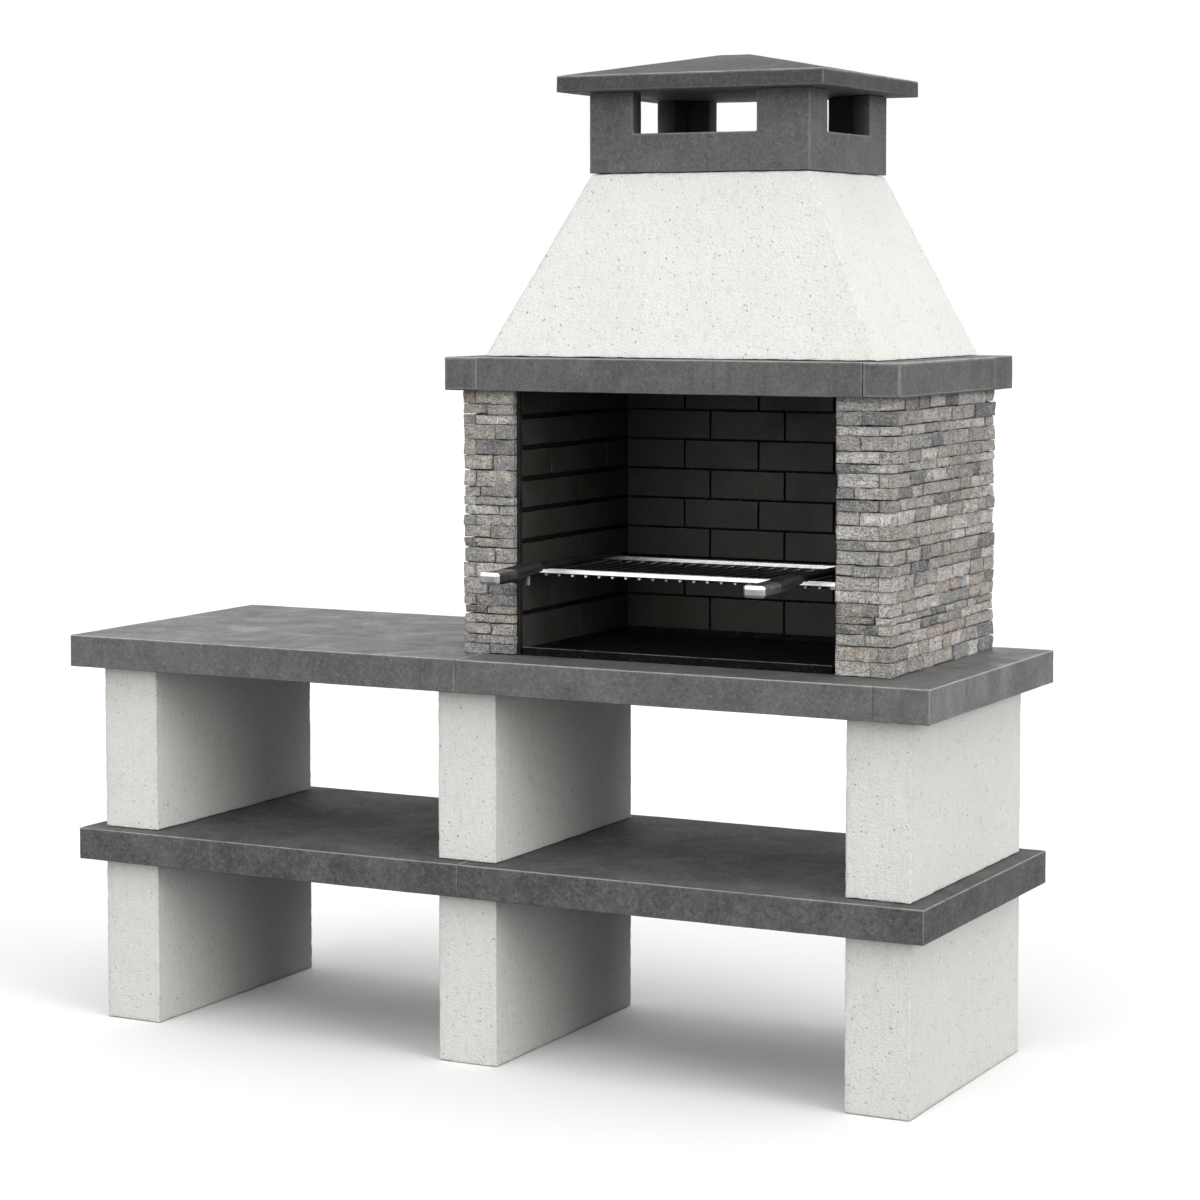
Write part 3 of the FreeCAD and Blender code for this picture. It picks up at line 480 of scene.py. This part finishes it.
def ledger_stone(name):
    """Split granite and sandstone: each stone its own tint, with winding veins, beds and speckle."""
    s = Shader(name)
    tint = s.number("tint")
    stops = [
        (0.0, (0.60, 0.570, 0.520, 1)),
        (0.18, (0.42, 0.412, 0.395, 1)),
        (0.30, (0.76, 0.732, 0.685, 1)),
        (0.49, (0.215, 0.218, 0.226, 1)),
        (0.57, (0.54, 0.510, 0.465, 1)),
        (0.70, (0.60, 0.522, 0.446, 1)),
        (0.76, (0.275, 0.274, 0.272, 1)),
        (0.84, (0.58, 0.512, 0.452, 1)),
        (0.89, (0.83, 0.803, 0.755, 1)),
    ]
    base = s.steps(tint, stops)
    # the pattern is moved for each stone, so that it breaks off at the joints
    shift = s.add("ShaderNodeCombineXYZ", X=s.times(tint, 37.0), Y=s.times(tint, 91.0)).outputs[0]
    moved = s.add("ShaderNodeVectorMath", {"operation": "ADD"}, _0=s.place, _1=shift).outputs[0]
    cloud = s.noise(44, 6, 0.74, moved, 0.8)
    base = s.mix(s.span(cloud, 0.46, 0.26, 0.0, 0.75), base, grey(0.16, 0.02))
    base = s.mix(s.span(cloud, 0.54, 0.72, 0.0, 0.75), base, grey(0.80, 0.03))
    rust = s.span(s.noise(24, 3, 0.6, moved), 0.54, 0.70, 0.0, 0.55)
    base = s.mix(rust, base, (0.60, 0.49, 0.40, 1))
    # broad warm and cool drifts that run over several stones
    drift = s.noise(8, 3, 0.6, s.stretched(1, 1, 1.8))
    base = s.mix(s.span(drift, 0.52, 0.66, 0.0, 0.30), base, (0.66, 0.575, 0.49, 1))
    base = s.mix(s.span(drift, 0.48, 0.36, 0.0, 0.35), base, (0.40, 0.412, 0.432, 1))
    # thin winding veins, like the lines of a map
    contour = s.math("FRACT", s.times(s.noise(34, 2, 0.5, moved, 1.6), 9.0))
    vein = s.span(s.math("ABSOLUTE", s.math("SUBTRACT", contour, 0.5)), 0.20, 0.03)
    base = s.mix(s.times(vein, 0.55), base, grey(0.12))
    beds = s.noise(1.0, 4, 0.65, s.stretched(26, 26, 200))
    base = s.mix(s.span(beds, 0.56, 0.72, 0.0, 0.6), base, grey(0.10))
    speckle = s.noise(240, 3, 0.78)
    base = s.mix(s.span(speckle, 0.46, 0.28, 0.0, 0.9), base, grey(0.07))
    base = s.mix(s.span(speckle, 0.56, 0.72, 0.0, 0.85), base, grey(0.88, 0.02))
    # darker along every stone's edges: painted shade in the joints
    broken = s.span(s.noise(110, 3, 0.7), 0.34, 0.60, 0.2, 1.0)
    edge = s.times(s.number("wear"), broken)
    base = s.mix(s.times(edge, 0.62), base, grey(0.07))
    # paler along the upward-facing edges: painted highlight
    painted_ledge_highlight = s.times(edge, s.span(s.facing(2), 0.0, 0.6))
    base = s.mix(s.times(painted_ledge_highlight, 0.6), base, grey(0.84, 0.02))
    normal = s.bump(cloud, 0.006, 0.9)
    normal = s.bump(vein, -0.0022, 0.8, normal)
    normal = s.bump(beds, -0.003, 0.8, normal)
    normal = s.bump(speckle, 0.0020, 0.8, normal)
    return s.finish(base, 0.84, normal, gloss=0.25)


def black_brick(name, body, edge):
    """Sooty black firebrick with thin paler edges, partly rubbed wear and partly a painted highlight.
    """
    s = Shader(name)
    tint = s.number("tint")
    soot = s.noise(9, 5, 0.6, twist=0.5)
    grain = s.noise(260, 3, 0.65)
    base = s.mix(s.span(soot, 0.35, 0.68), body, grey(body[1] * 1.7, 0.05))
    base = s.mix(s.span(tint, 0.0, 1.0, 0.0, 0.4), base, grey(body[1] * 1.8, 0.05))
    base = s.mix(s.span(grain, 0.55, 0.75, 0.0, 0.4), base, grey(body[1] * 2.2, 0.04))
    # paler along the edges: partly rubbed wear, partly a painted highlight
    ragged = s.times(s.number("wear"), s.span(s.noise(60, 3, 0.7), 0.36, 0.62))
    base = s.mix(s.span(ragged, 0.55, 1.0, 0.0, 0.9), base, edge)
    rough = s.span(soot, 0.35, 0.7, 0.46, 0.66)
    normal = s.bump(grain, 0.0009, 0.6)
    normal = s.bump(soot, 0.003, 0.25, normal)
    return s.finish(base, rough, normal, gloss=0.22)


def rough_mortar(name, value):
    """Lumpy mortar."""
    s = Shader(name)
    lumps = s.noise(120, 5, 0.7)
    base = s.mix(s.span(lumps, 0.35, 0.68), grey(value * 0.6), grey(value * 1.5))
    return s.finish(base, 0.9, s.bump(lumps, 0.003, 0.8))


def dark_steel(name, value, edge, metal, low, high, gloss=0.5):
    """Blackened sheet steel: mill scale, fine grain, brighter along the edges, which is rubbed wear
    on most pieces and a painted highlight on the grill rods' ends.
    """
    s = Shader(name)
    scale = s.noise(26, 5, 0.65)
    grain = s.noise(500, 2, 0.6)
    base = s.mix(s.span(scale, 0.36, 0.66), grey(value * 0.65), grey(value * 1.5))
    base = s.mix(s.times(s.number("wear"), s.span(scale, 0.3, 0.6)), base, edge)
    rough = s.span(scale, 0.35, 0.7, low, high)
    return s.finish(base, rough, s.bump(grain, 0.0004, 0.5), metal=metal, gloss=gloss)


def sooty_sheet(name, value, edge):
    """The ember pan: soot in clouds with flecks of ash, and a painted highlight along its rolled
    front edge.
    """
    s = Shader(name)
    clouds = s.noise(14, 5, 0.65, twist=0.6)
    ash = s.noise(150, 3, 0.7)
    base = s.mix(s.span(clouds, 0.36, 0.66), grey(value * 0.5), grey(value * 1.8))
    base = s.mix(s.span(ash, 0.58, 0.72, 0.0, 0.6), base, grey(0.05, 0.03))
    # the pale edge colour goes only where the pan sets it: a painted highlight
    base = s.mix(s.times(s.number("wear"), s.span(clouds, 0.3, 0.6)), base, edge)
    rough = s.span(clouds, 0.35, 0.7, 0.70, 0.90)
    return s.finish(base, rough, s.bump(ash, 0.0008, 0.6), gloss=0.06)


def satin_steel(name, value, edge, low, high):
    """Brushed end caps: dull faces, with a painted highlight on the upper edges."""
    s = Shader(name)
    brush = s.noise(1.0, 3, 0.6, s.stretched(60, 600, 600))
    stain = s.noise(40, 4, 0.6)
    base = s.mix(s.span(stain, 0.36, 0.66), grey(value * 0.8), grey(value * 1.25))
    # pale only on upward-facing edges: painted highlight
    upper = s.times(s.number("wear"), s.span(s.facing(2), 0.05, 0.5))
    base = s.mix(upper, base, grey(edge))
    rough = s.span(brush, 0.35, 0.7, low, high)
    return s.finish(base, rough, s.bump(brush, 0.0003, 0.3), metal=1.0)


def bright_steel(name, value, low, high, across):
    """Plated steel with fine drawing marks and a faint bloom of smoke."""
    s = Shader(name)
    marks = s.noise(1.0, 3, 0.6, s.stretched(*across))
    smoke = s.noise(6, 3, 0.6)
    base = s.mix(s.span(smoke, 0.50, 0.76, 0.0, 0.3), grey(value), grey(value * 0.75, 0.02))
    rough = s.span(marks, 0.35, 0.7, low, high)
    return s.finish(base, rough, s.bump(marks, 0.0002, 0.2), metal=1.0)


def moulded_black(name):
    """Grained black plastic, a little paler where the hand rubs it."""
    s = Shader(name)
    grain = s.noise(900, 2, 0.6)
    cloud = s.noise(40, 3, 0.6)
    base = s.mix(s.span(cloud, 0.35, 0.7), grey(0.008), grey(0.02))
    base = s.mix(s.times(s.number("wear"), 0.5), base, grey(0.05))
    rough = s.span(cloud, 0.35, 0.7, 0.60, 0.75)
    return s.finish(base, rough, s.bump(grain, 0.0003, 0.5), gloss=0.08)


cool_dark = grey(0.078, -0.012)
cool_light = grey(0.134, -0.008)
worktop_look = concrete(
    "anthracite_worktop", cool_dark, cool_light, worn_and_lit_edge=grey(0.50),
    gloss=0.36, low_rough=0.32, high_rough=0.70,
)
shelf_look = concrete(
    "anthracite_shelf", grey(0.084, -0.012), grey(0.142, -0.008), worn_and_lit_edge=grey(0.42),
    gloss=0.06, low_rough=0.60, high_rough=0.75,
)
slab_look = concrete(
    "anthracite_mantel", cool_dark, cool_light, worn_and_lit_edge=grey(0.42),
    gloss=0.25, low_rough=0.55, high_rough=0.70,
)
collar_look = concrete(
    "anthracite_collar", grey(0.100, -0.01), grey(0.142, -0.008), worn_and_lit_edge=grey(0.34),
    gloss=0.20, low_rough=0.60, high_rough=0.75,
)
roof_look = concrete(
    "anthracite_roof", grey(0.064, -0.01), grey(0.091, -0.008), worn_and_lit_edge=grey(0.42),
    gloss=0.15, low_rough=0.60, high_rough=0.75,
)
core_look = concrete(
    "core_concrete", grey(0.15), grey(0.23), worn_and_lit_edge=grey(0.34),
    gloss=0.20, low_rough=0.70, high_rough=0.85,
)
render_look = white_render("bush_hammered_render", (0.845, 0.838, 0.813, 1))
stone_look = ledger_stone("split_ledger_stone")
brick_look = black_brick(
    "black_firebrick", body=(0.0142, 0.0142, 0.0085, 1), edge=(0.11, 0.11, 0.09, 1)
)
# a lighter copy of the firebrick for the side liners: painted light, making up for the weaker light
# on the sides
side_brick_painted_lighter_look = black_brick(
    "black_firebrick_side_painted_lighter", body=(0.027, 0.027, 0.020, 1), edge=(0.18, 0.18, 0.15, 1)
)
mortar_look = rough_mortar("sooty_mortar", 0.006)
bed_look = rough_mortar("wall_mortar", 0.05)
steel_look = dark_steel(
    "blackened_steel", 0.005, edge=grey(0.022), metal=0.0, low=0.60, high=0.80, gloss=0.10
)
ledge_look = dark_steel("plated_ledge", 0.16, edge=grey(0.3), metal=0.9, low=0.30, high=0.45)
# the near-white edge colour lands only on the rod ends: a painted highlight
rod_look = dark_steel(
    "smoked_rods", 0.016, edge=grey(0.85), metal=0.0, low=0.34, high=0.50, gloss=0.25
)
tray_look = sooty_sheet("sooty_tray", 0.0040, edge=grey(0.13))
chrome_look = bright_steel("plated_steel", 0.85, low=0.24, high=0.34, across=(20, 400, 400))
cap_look = satin_steel("satin_steel", 0.20, edge=0.85, low=0.30, high=0.42)
grip_look = moulded_black("moulded_grip")


# Piers, slabs, mantel, hood and chimney
pier_wear = Wear(cell=0.010, radius=0.0030, swell=0.0008, chip=0.0035, chip_size=0.010, reach=0.004)
hood_wear = pier_wear._replace(cell=0.016, chip=0.0032, chip_size=0.011)
slab_wear = Wear(cell=0.014, radius=0.0025, swell=0.0004, chip=0.0010, chip_size=0.014, reach=0.0035)
side_slab_wear = slab_wear._replace(cell=0.020, radius=0.0007)
wall_wear = slab_wear._replace(radius=0.0020, reach=0.0030)
collar_wear = slab_wear._replace(cell=0.018, chip_size=0.012, reach=0.0030)
roof_wear = slab_wear._replace(cell=0.024, reach=0.0030)

for number, place in enumerate(("left", "middle", "right")):
    for level, first_seed in (("lower", 11), ("upper", 61)):
        name = f"{level}_pier_{place}"
        seed = first_seed + 7 * number
        worn_block(f"{name}_render", name, render_look, pier_wear, seed)

# each worktop slab has a line scored at this distance from its right-hand end
score_from_end = {"left": 0.0825, "right": 0.114}
for number, side in enumerate(("left", "right")):
    more_seed = 10 * number
    worktop = f"worktop_{side}"
    scores = [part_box(worktop)[1].x - score_from_end[side]]
    worn_block(f"{worktop}_slab", worktop, worktop_look, slab_wear, 101 + more_seed, scores)
    shelf = f"shelf_{side}"
    worn_block(f"{shelf}_slab", shelf, shelf_look, slab_wear, 121 + more_seed)
    mantel = f"mantel_{side}"
    worn_copy(f"{mantel}_slab", mantel, slab_look, side_slab_wear, 141 + more_seed)
for number, name in enumerate(("mantel_lintel", "mantel_back")):
    worn_block(f"{name}_slab", name, slab_look, slab_wear, 161 + 10 * number)
worn_block("back_wall_cast", "back_wall", core_look, wall_wear, 191)
worn_copy("hood_render", "hood", render_look, hood_wear, 201)
worn_copy(
    "chimney_collar_cast", "chimney_collar", collar_look, collar_wear, 211, sooty=True
)
worn_copy("roof_cap_cast", "roof_cap", roof_look, roof_wear, 221)


# Loose solids of one CAD node
def loose_parts(node):
    """The corner points of each separate solid in a node."""
    shape = bmesh.new()
    shape.from_mesh(nodes[node].data)
    bmesh.ops.remove_doubles(shape, verts=shape.verts, dist=SAME_PLACE / 10)
    seen = set()
    parts = []
    for first in shape.verts:
        if first in seen:
            continue
        group = []
        waiting = [first]
        seen.add(first)
        while waiting:
            vert = waiting.pop()
            group.append(tuple(vert.co))
            for edge in vert.link_edges:
                other = edge.other_vert(vert)
                if other not in seen:
                    seen.add(other)
                    waiting.append(other)
        parts.append(np.array(group))
    shape.free()
    return parts


def join_grids(name, grids, crease):
    """One object from many (points, faces, attributes) grids."""
    points, faces, floats = [], [], {}
    start = 0
    for grid_points, grid_faces, grid_floats in grids:
        points.append(grid_points)
        faces.append(grid_faces + start)
        start += len(grid_points)
        for label, values in grid_floats.items():
            floats.setdefault(label, []).append(values)
    joined = {label: np.concatenate(values) for label, values in floats.items()}
    return make_object(name, np.concatenate(points), np.concatenate(faces), joined, crease=crease)


# Ledger stone: every stone keeps its CAD place and plan and gets a split face.
# Some joints are tight, others gape below the stone or beside it
GAPS_BELOW = (-0.0004, 0.0, 0.0008, 0.0016)
GAPS_BESIDE = (-0.0004, -0.0003, 0.0, 0.0010)
RISE_ABOVE = 0.0003
STONE_ROUND = 0.0010
STONE_CELLS = (0.0065, 0.009, 0.0055)
SPLIT_PLANES = 4
SPLIT_TILT = 0.004
SPLIT_START = (0.0010, 0.0030)
FACE_FROM = 0.35
BREAK_DEPTH = 0.0014
BREAK_SIZES = (0.017, 0.0065)
STONE_CHIP = 0.0028
STONE_CHIP_SIZE = 0.009
STONE_CHIP_REACH = 0.004
STONE_WOBBLE = 0.0015
STONE_WOBBLE_SIZE = 0.018
STONE_EDGE_SHADE_REACH = 0.0020


def split_stone(corners, outward_axis, outward, draw, seed):
    """One stone. Its own frame is (along the wall, out of the wall, up)."""
    along_axis = 1 - outward_axis
    along = corners[:, along_axis]
    out = corners[:, outward_axis] * outward
    below = draw.choice(GAPS_BELOW)
    beside = draw.choice(GAPS_BESIDE)
    low = np.array([along.min() + beside, out.min(), corners[:, 2].min() + below])
    high = np.array([along.max() - beside, out.max(), corners[:, 2].max() + RISE_ABOVE])
    at_start = along < along.min() + SAME_PLACE
    face_start = out[at_start].max()
    face_end = out[~at_start].max()
    radius = min(STONE_ROUND, (high[2] - low[2]) * 0.10)
    points, faces = box_grid(
        *[axis_lines(low[i], high[i], STONE_CELLS[i], radius) for i in range(3)]
    )
    distance = edge_distance(points, low, high)
    share_along, share_out, share_up = ((points - low) / (high - low)).T
    points, normal = round_box(points, low, high, radius)
    # the split face: the lowest of a few tilted planes, then finer breaks
    drop = np.zeros(len(points))
    for _ in range(SPLIT_PLANES):
        tilt_along = draw.uniform(-SPLIT_TILT, SPLIT_TILT)
        tilt_up = draw.uniform(-SPLIT_TILT, SPLIT_TILT)
        start = draw.uniform(*SPLIT_START)
        plane = start + tilt_along * (share_along - 0.5) + tilt_up * (share_up - 0.5)
        drop = np.maximum(drop, -plane)
    coarse, fine = (noise(points, size, seed + i) for i, size in enumerate(BREAK_SIZES))
    breaks = BREAK_DEPTH * coarse + BREAK_DEPTH * fine
    slant = (face_start - high[1]) * (1 - share_along) + (face_end - high[1]) * share_along
    outside = np.clip((share_out - FACE_FROM) / (1 - FACE_FROM), 0, 1)
    points[:, 1] += slant * share_out + (breaks - drop) * outside
    bite = np.maximum(0, noise(points, STONE_CHIP_SIZE, seed + 2))
    chip = bite * wear_from(distance, STONE_CHIP_REACH) * outside
    wobble = STONE_WOBBLE * noise(points, STONE_WOBBLE_SIZE, seed + 3) * outside
    points += normal * (wobble - STONE_CHIP * chip)[:, None]
    placed = np.empty_like(points)
    placed[:, along_axis] = points[:, 0]
    placed[:, outward_axis] = points[:, 1] * outward
    placed[:, 2] = points[:, 2]
    flipped = (outward_axis == 0) == (outward > 0)
    tint = np.full(len(points), draw.random())
    # the stones' wear values carry the painted joint shade and the painted highlight on upward edges
    floats = {"wear": wear_from(distance, STONE_EDGE_SHADE_REACH), "tint": tint}
    return placed, (faces[:, ::-1] if flipped else faces), floats


def lay_stones(side, outward, seed):
    """One cladding: the stones in front of the liner face forward, the others outward."""
    node = f"stone_cladding_{side}"
    liner_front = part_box("liner_bricks_left")[0].y
    draw = random.Random(seed)
    grids = []
    for number, corners in enumerate(loose_parts(node)):
        on_front = corners[:, 1].max() < liner_front + 10 * SAME_PLACE
        axis, direction = (1, -1) if on_front else (0, outward)
        grids.append(split_stone(corners, axis, direction, draw, seed + 5 * number))
    made = join_grids(f"{node}_split", grids, crease=24)
    stands_for(made, node, stone_look)


lay_stones("left", -1, 301)
lay_stones("right", 1, 2301)


# Firebrick liners
BRICK_CELL = 0.014
BRICK_ROUND = 0.0016
BRICK_SWELL = 0.0005
BRICK_SWELL_SIZE = 0.03
BRICK_CHIP = 0.0012
BRICK_CHIP_SIZE = 0.013
BRICK_REACH = 0.0036


def lay_bricks(side, material, seed):
    """One liner: every brick keeps its CAD place and gets rounded, chipped edges."""
    node = f"liner_bricks_{side}"
    draw = random.Random(seed)
    grids = []
    for number, corners in enumerate(loose_parts(node)):
        low, high = corners.min(0), corners.max(0)
        points, faces = box_grid(
            *[axis_lines(low[i], high[i], BRICK_CELL, BRICK_ROUND) for i in range(3)]
        )
        distance = edge_distance(points, low, high)
        points, normal = round_box(points, low, high, BRICK_ROUND)
        wear = wear_from(distance, BRICK_REACH)
        uneven = BRICK_SWELL * noise(points, BRICK_SWELL_SIZE, seed + number)
        bite = np.maximum(0, noise(points, BRICK_CHIP_SIZE, seed + number + 400)) * wear
        points = points + normal * (uneven - BRICK_SWELL - BRICK_CHIP * bite)[:, None]
        tint = np.full(len(points), draw.random())
        grids.append((points, faces, {"wear": wear, "tint": tint}))
    made = join_grids(f"{node}_fired", grids, crease=50)
    flat_faces(made)
    stands_for(made, node, material)


lay_bricks("left", side_brick_painted_lighter_look, 4000)
lay_bricks("right", side_brick_painted_lighter_look, 5000)
lay_bricks("back", brick_look, 6000)


# Steel, grill and handles
def add_rings(shape, width):
    """Gives each wide face a smaller face within it, so that the wear stays near the edges."""
    for face in shape.faces[:]:
        half = face.calc_area() / face.calc_perimeter()
        if half > width:
            bmesh.ops.inset_individual(shape, faces=[face], thickness=0)
            centre = face.calc_center_median()
            for vert in face.verts:
                vert.co = centre + (vert.co - centre) * (1 - 0.8 * width / half)


# How far the pale edge values of metal and plastic reach from an edge: rubbed wear, and a painted
# highlight on the caps and rod ends
RUB_AND_HIGHLIGHT_REACH = 0.002


def softened(node, suffix, material, radius, least=25, convex=False, painted_highlight_ends=0):
    """The CAD shape with fine rounded edges and rubbed-edge values. Long pieces whose ends carry a
    painted highlight are cut across at that distance from their ends, where the pale colour stops."""
    shape, starts, ends = rounded_copy(node, radius, least)
    bmesh.ops.remove_doubles(shape, verts=shape.verts, dist=SAME_PLACE)
    if convex:
        add_rings(shape, RUB_AND_HIGHLIGHT_REACH * 1.5)
    if painted_highlight_ends:
        places = [v.co.y for v in shape.verts]
        cut_across(shape, 1, (min(places) + painted_highlight_ends, max(places) - painted_highlight_ends))
    points = np.array([v.co for v in shape.verts])
    distance = distance_to_segments(points, starts, ends)
    wear = wear_from(distance - radius * 0.5, RUB_AND_HIGHLIGHT_REACH)
    made = make_object(f"{node}_{suffix}", points, take_faces(shape), {"wear": wear}, crease=40)
    flat_faces(made)
    return stands_for(made, node, material)


for name in ("left", "right"):
    softened(f"edge_trim_{name}", "bar", steel_look, 0.0007)
    softened(f"grill_ledge_{name}", "strip", ledge_look, 0.0008)
    softened(f"handle_shaft_{name}", "flat", steel_look, 0.0008)
    softened(f"handle_fin_{name}", "plate", steel_look, 0.0006)
    softened(f"handle_grip_{name}", "moulded", grip_look, 0.0015, convex=True)
    softened(f"handle_cap_{name}", "metal", cap_look, 0.0010, convex=True)
for name in ("front", "rear"):
    softened(f"grill_bar_{name}", "drawn", chrome_look, 0.0004, least=50)
softened("grill_rods", "smoked", rod_look, 0.0004, least=50, painted_highlight_ends=0.009)


def make_tray():
    """The pan, with a painted highlight along the top of its rolled front edge."""
    pan = softened("ember_tray", "pan", tray_look, 0.0005)
    low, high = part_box("ember_tray")
    bead = 0.005
    wear = pan.data.attributes["wear"].data
    for vert in pan.data.vertices:
        # only the top of the rolled edge is made pale: painted highlight
        highlight_on_bead_top = vert.co.y < low.y + bead and vert.co.z > high.z - bead / 4
        wear[vert.index].value = 1.0 if highlight_on_bead_top else 0.0


make_tray()


def dress(node, material):
    """Gives a CAD node that keeps its shape a better material."""
    nodes[node].data.materials.clear()
    nodes[node].data.materials.append(material)


for name in ("side_wall_left", "side_wall_right"):
    dress(name, bed_look)
for name in ("liner_mortar_left", "liner_mortar_right", "liner_mortar_back"):
    dress(name, mortar_look)


# Floor, light and camera
def seen_directly(tree):
    """One for camera, glossy and transmission rays, nothing for the light that bounces about."""
    path = tree.nodes.new("ShaderNodeLightPath")
    seen = path.outputs["Is Camera Ray"]
    for label in ("Is Glossy Ray", "Is Transmission Ray"):
        join = tree.nodes.new("ShaderNodeMath")
        join.operation = "MAXIMUM"
        tree.links.new(seen, join.inputs[0])
        tree.links.new(path.outputs[label], join.inputs[1])
        seen = join.outputs[0]
    return seen


def make_floor():
    """White paper where it is seen; for the light that bounces about it is dark."""
    size = 40
    corners = [(-size, -size, 0), (size, -size, 0), (size, size, 0), (-size, size, 0)]
    floor = make_object("studio_floor", corners, [(0, 1, 2, 3)], smooth=False)
    s = Shader("pale_floor")
    paper = s.mix(s.noise(3, 3), grey(0.97), grey(0.99))
    base = s.mix(seen_directly(s.tree), grey(0.14), paper)
    floor.data.materials.append(s.finish(base, 1.0, gloss=0.0))


def make_world():
    """White where it is seen; as light, stronger from the front than from behind."""
    world = bpy.data.worlds.new("studio")
    scene.world = world
    world.use_nodes = True
    tree = world.node_tree
    direction = tree.nodes.new("ShaderNodeTexCoord").outputs["Generated"]
    parts = tree.nodes.new("ShaderNodeSeparateXYZ")
    tree.links.new(direction, parts.inputs[0])
    spread = tree.nodes.new("ShaderNodeMapRange")
    limits = {"From Min": -0.4, "From Max": 0.6, "To Min": 0.13, "To Max": 0.02}
    for label, value in limits.items():
        spread.inputs[label].default_value = value
    tree.links.new(parts.outputs[1], spread.inputs["Value"])
    choose = tree.nodes.new("ShaderNodeMix")
    tree.links.new(seen_directly(tree), choose.inputs[0])
    tree.links.new(spread.outputs[0], choose.inputs[2])
    choose.inputs[3].default_value = 1.0
    sky = tree.nodes["Background"]
    sky.inputs["Color"].default_value = (1, 1, 1, 1)
    tree.links.new(choose.outputs[0], sky.inputs["Strength"])


def make_sun(name, azimuth, height, strength, spread):
    """A soft distant lamp. Azimuth 0 shines from the front, 90 from the right."""
    lamp = bpy.data.lights.new(name, "SUN")
    lamp.energy = strength
    lamp.angle = math.radians(spread)
    made = bpy.data.objects.new(name, lamp)
    made.rotation_euler = Euler((math.radians(90 - height), 0, math.radians(azimuth)), "XYZ")
    scene.collection.objects.link(made)
    return made


def make_camera():
    """The view of the photograph, as fitted to points of it."""
    data = bpy.data.cameras.new("photo_view")
    data.lens = 93.66
    data.sensor_width = 36
    data.shift_y = -0.0866
    camera = bpy.data.objects.new("photo_view", data)
    camera.location = (3.0598, -5.6995, 1.5926)
    camera.rotation_euler = Euler((math.radians(86), 0, math.radians(27.2)), "XYZ")
    scene.collection.objects.link(camera)
    scene.camera = camera


make_floor()
make_world()
make_sun("key", azimuth=76, height=17, strength=1.92, spread=38)
make_sun("fill", azimuth=-4, height=12, strength=1.54, spread=46)
make_sun("top", azimuth=10, height=84, strength=2.44, spread=104)
# a weak lamp for the back, kept out of the slabs' reflections
make_sun("back", azimuth=200, height=18, strength=0.5, spread=60).visible_glossy = False
make_camera()
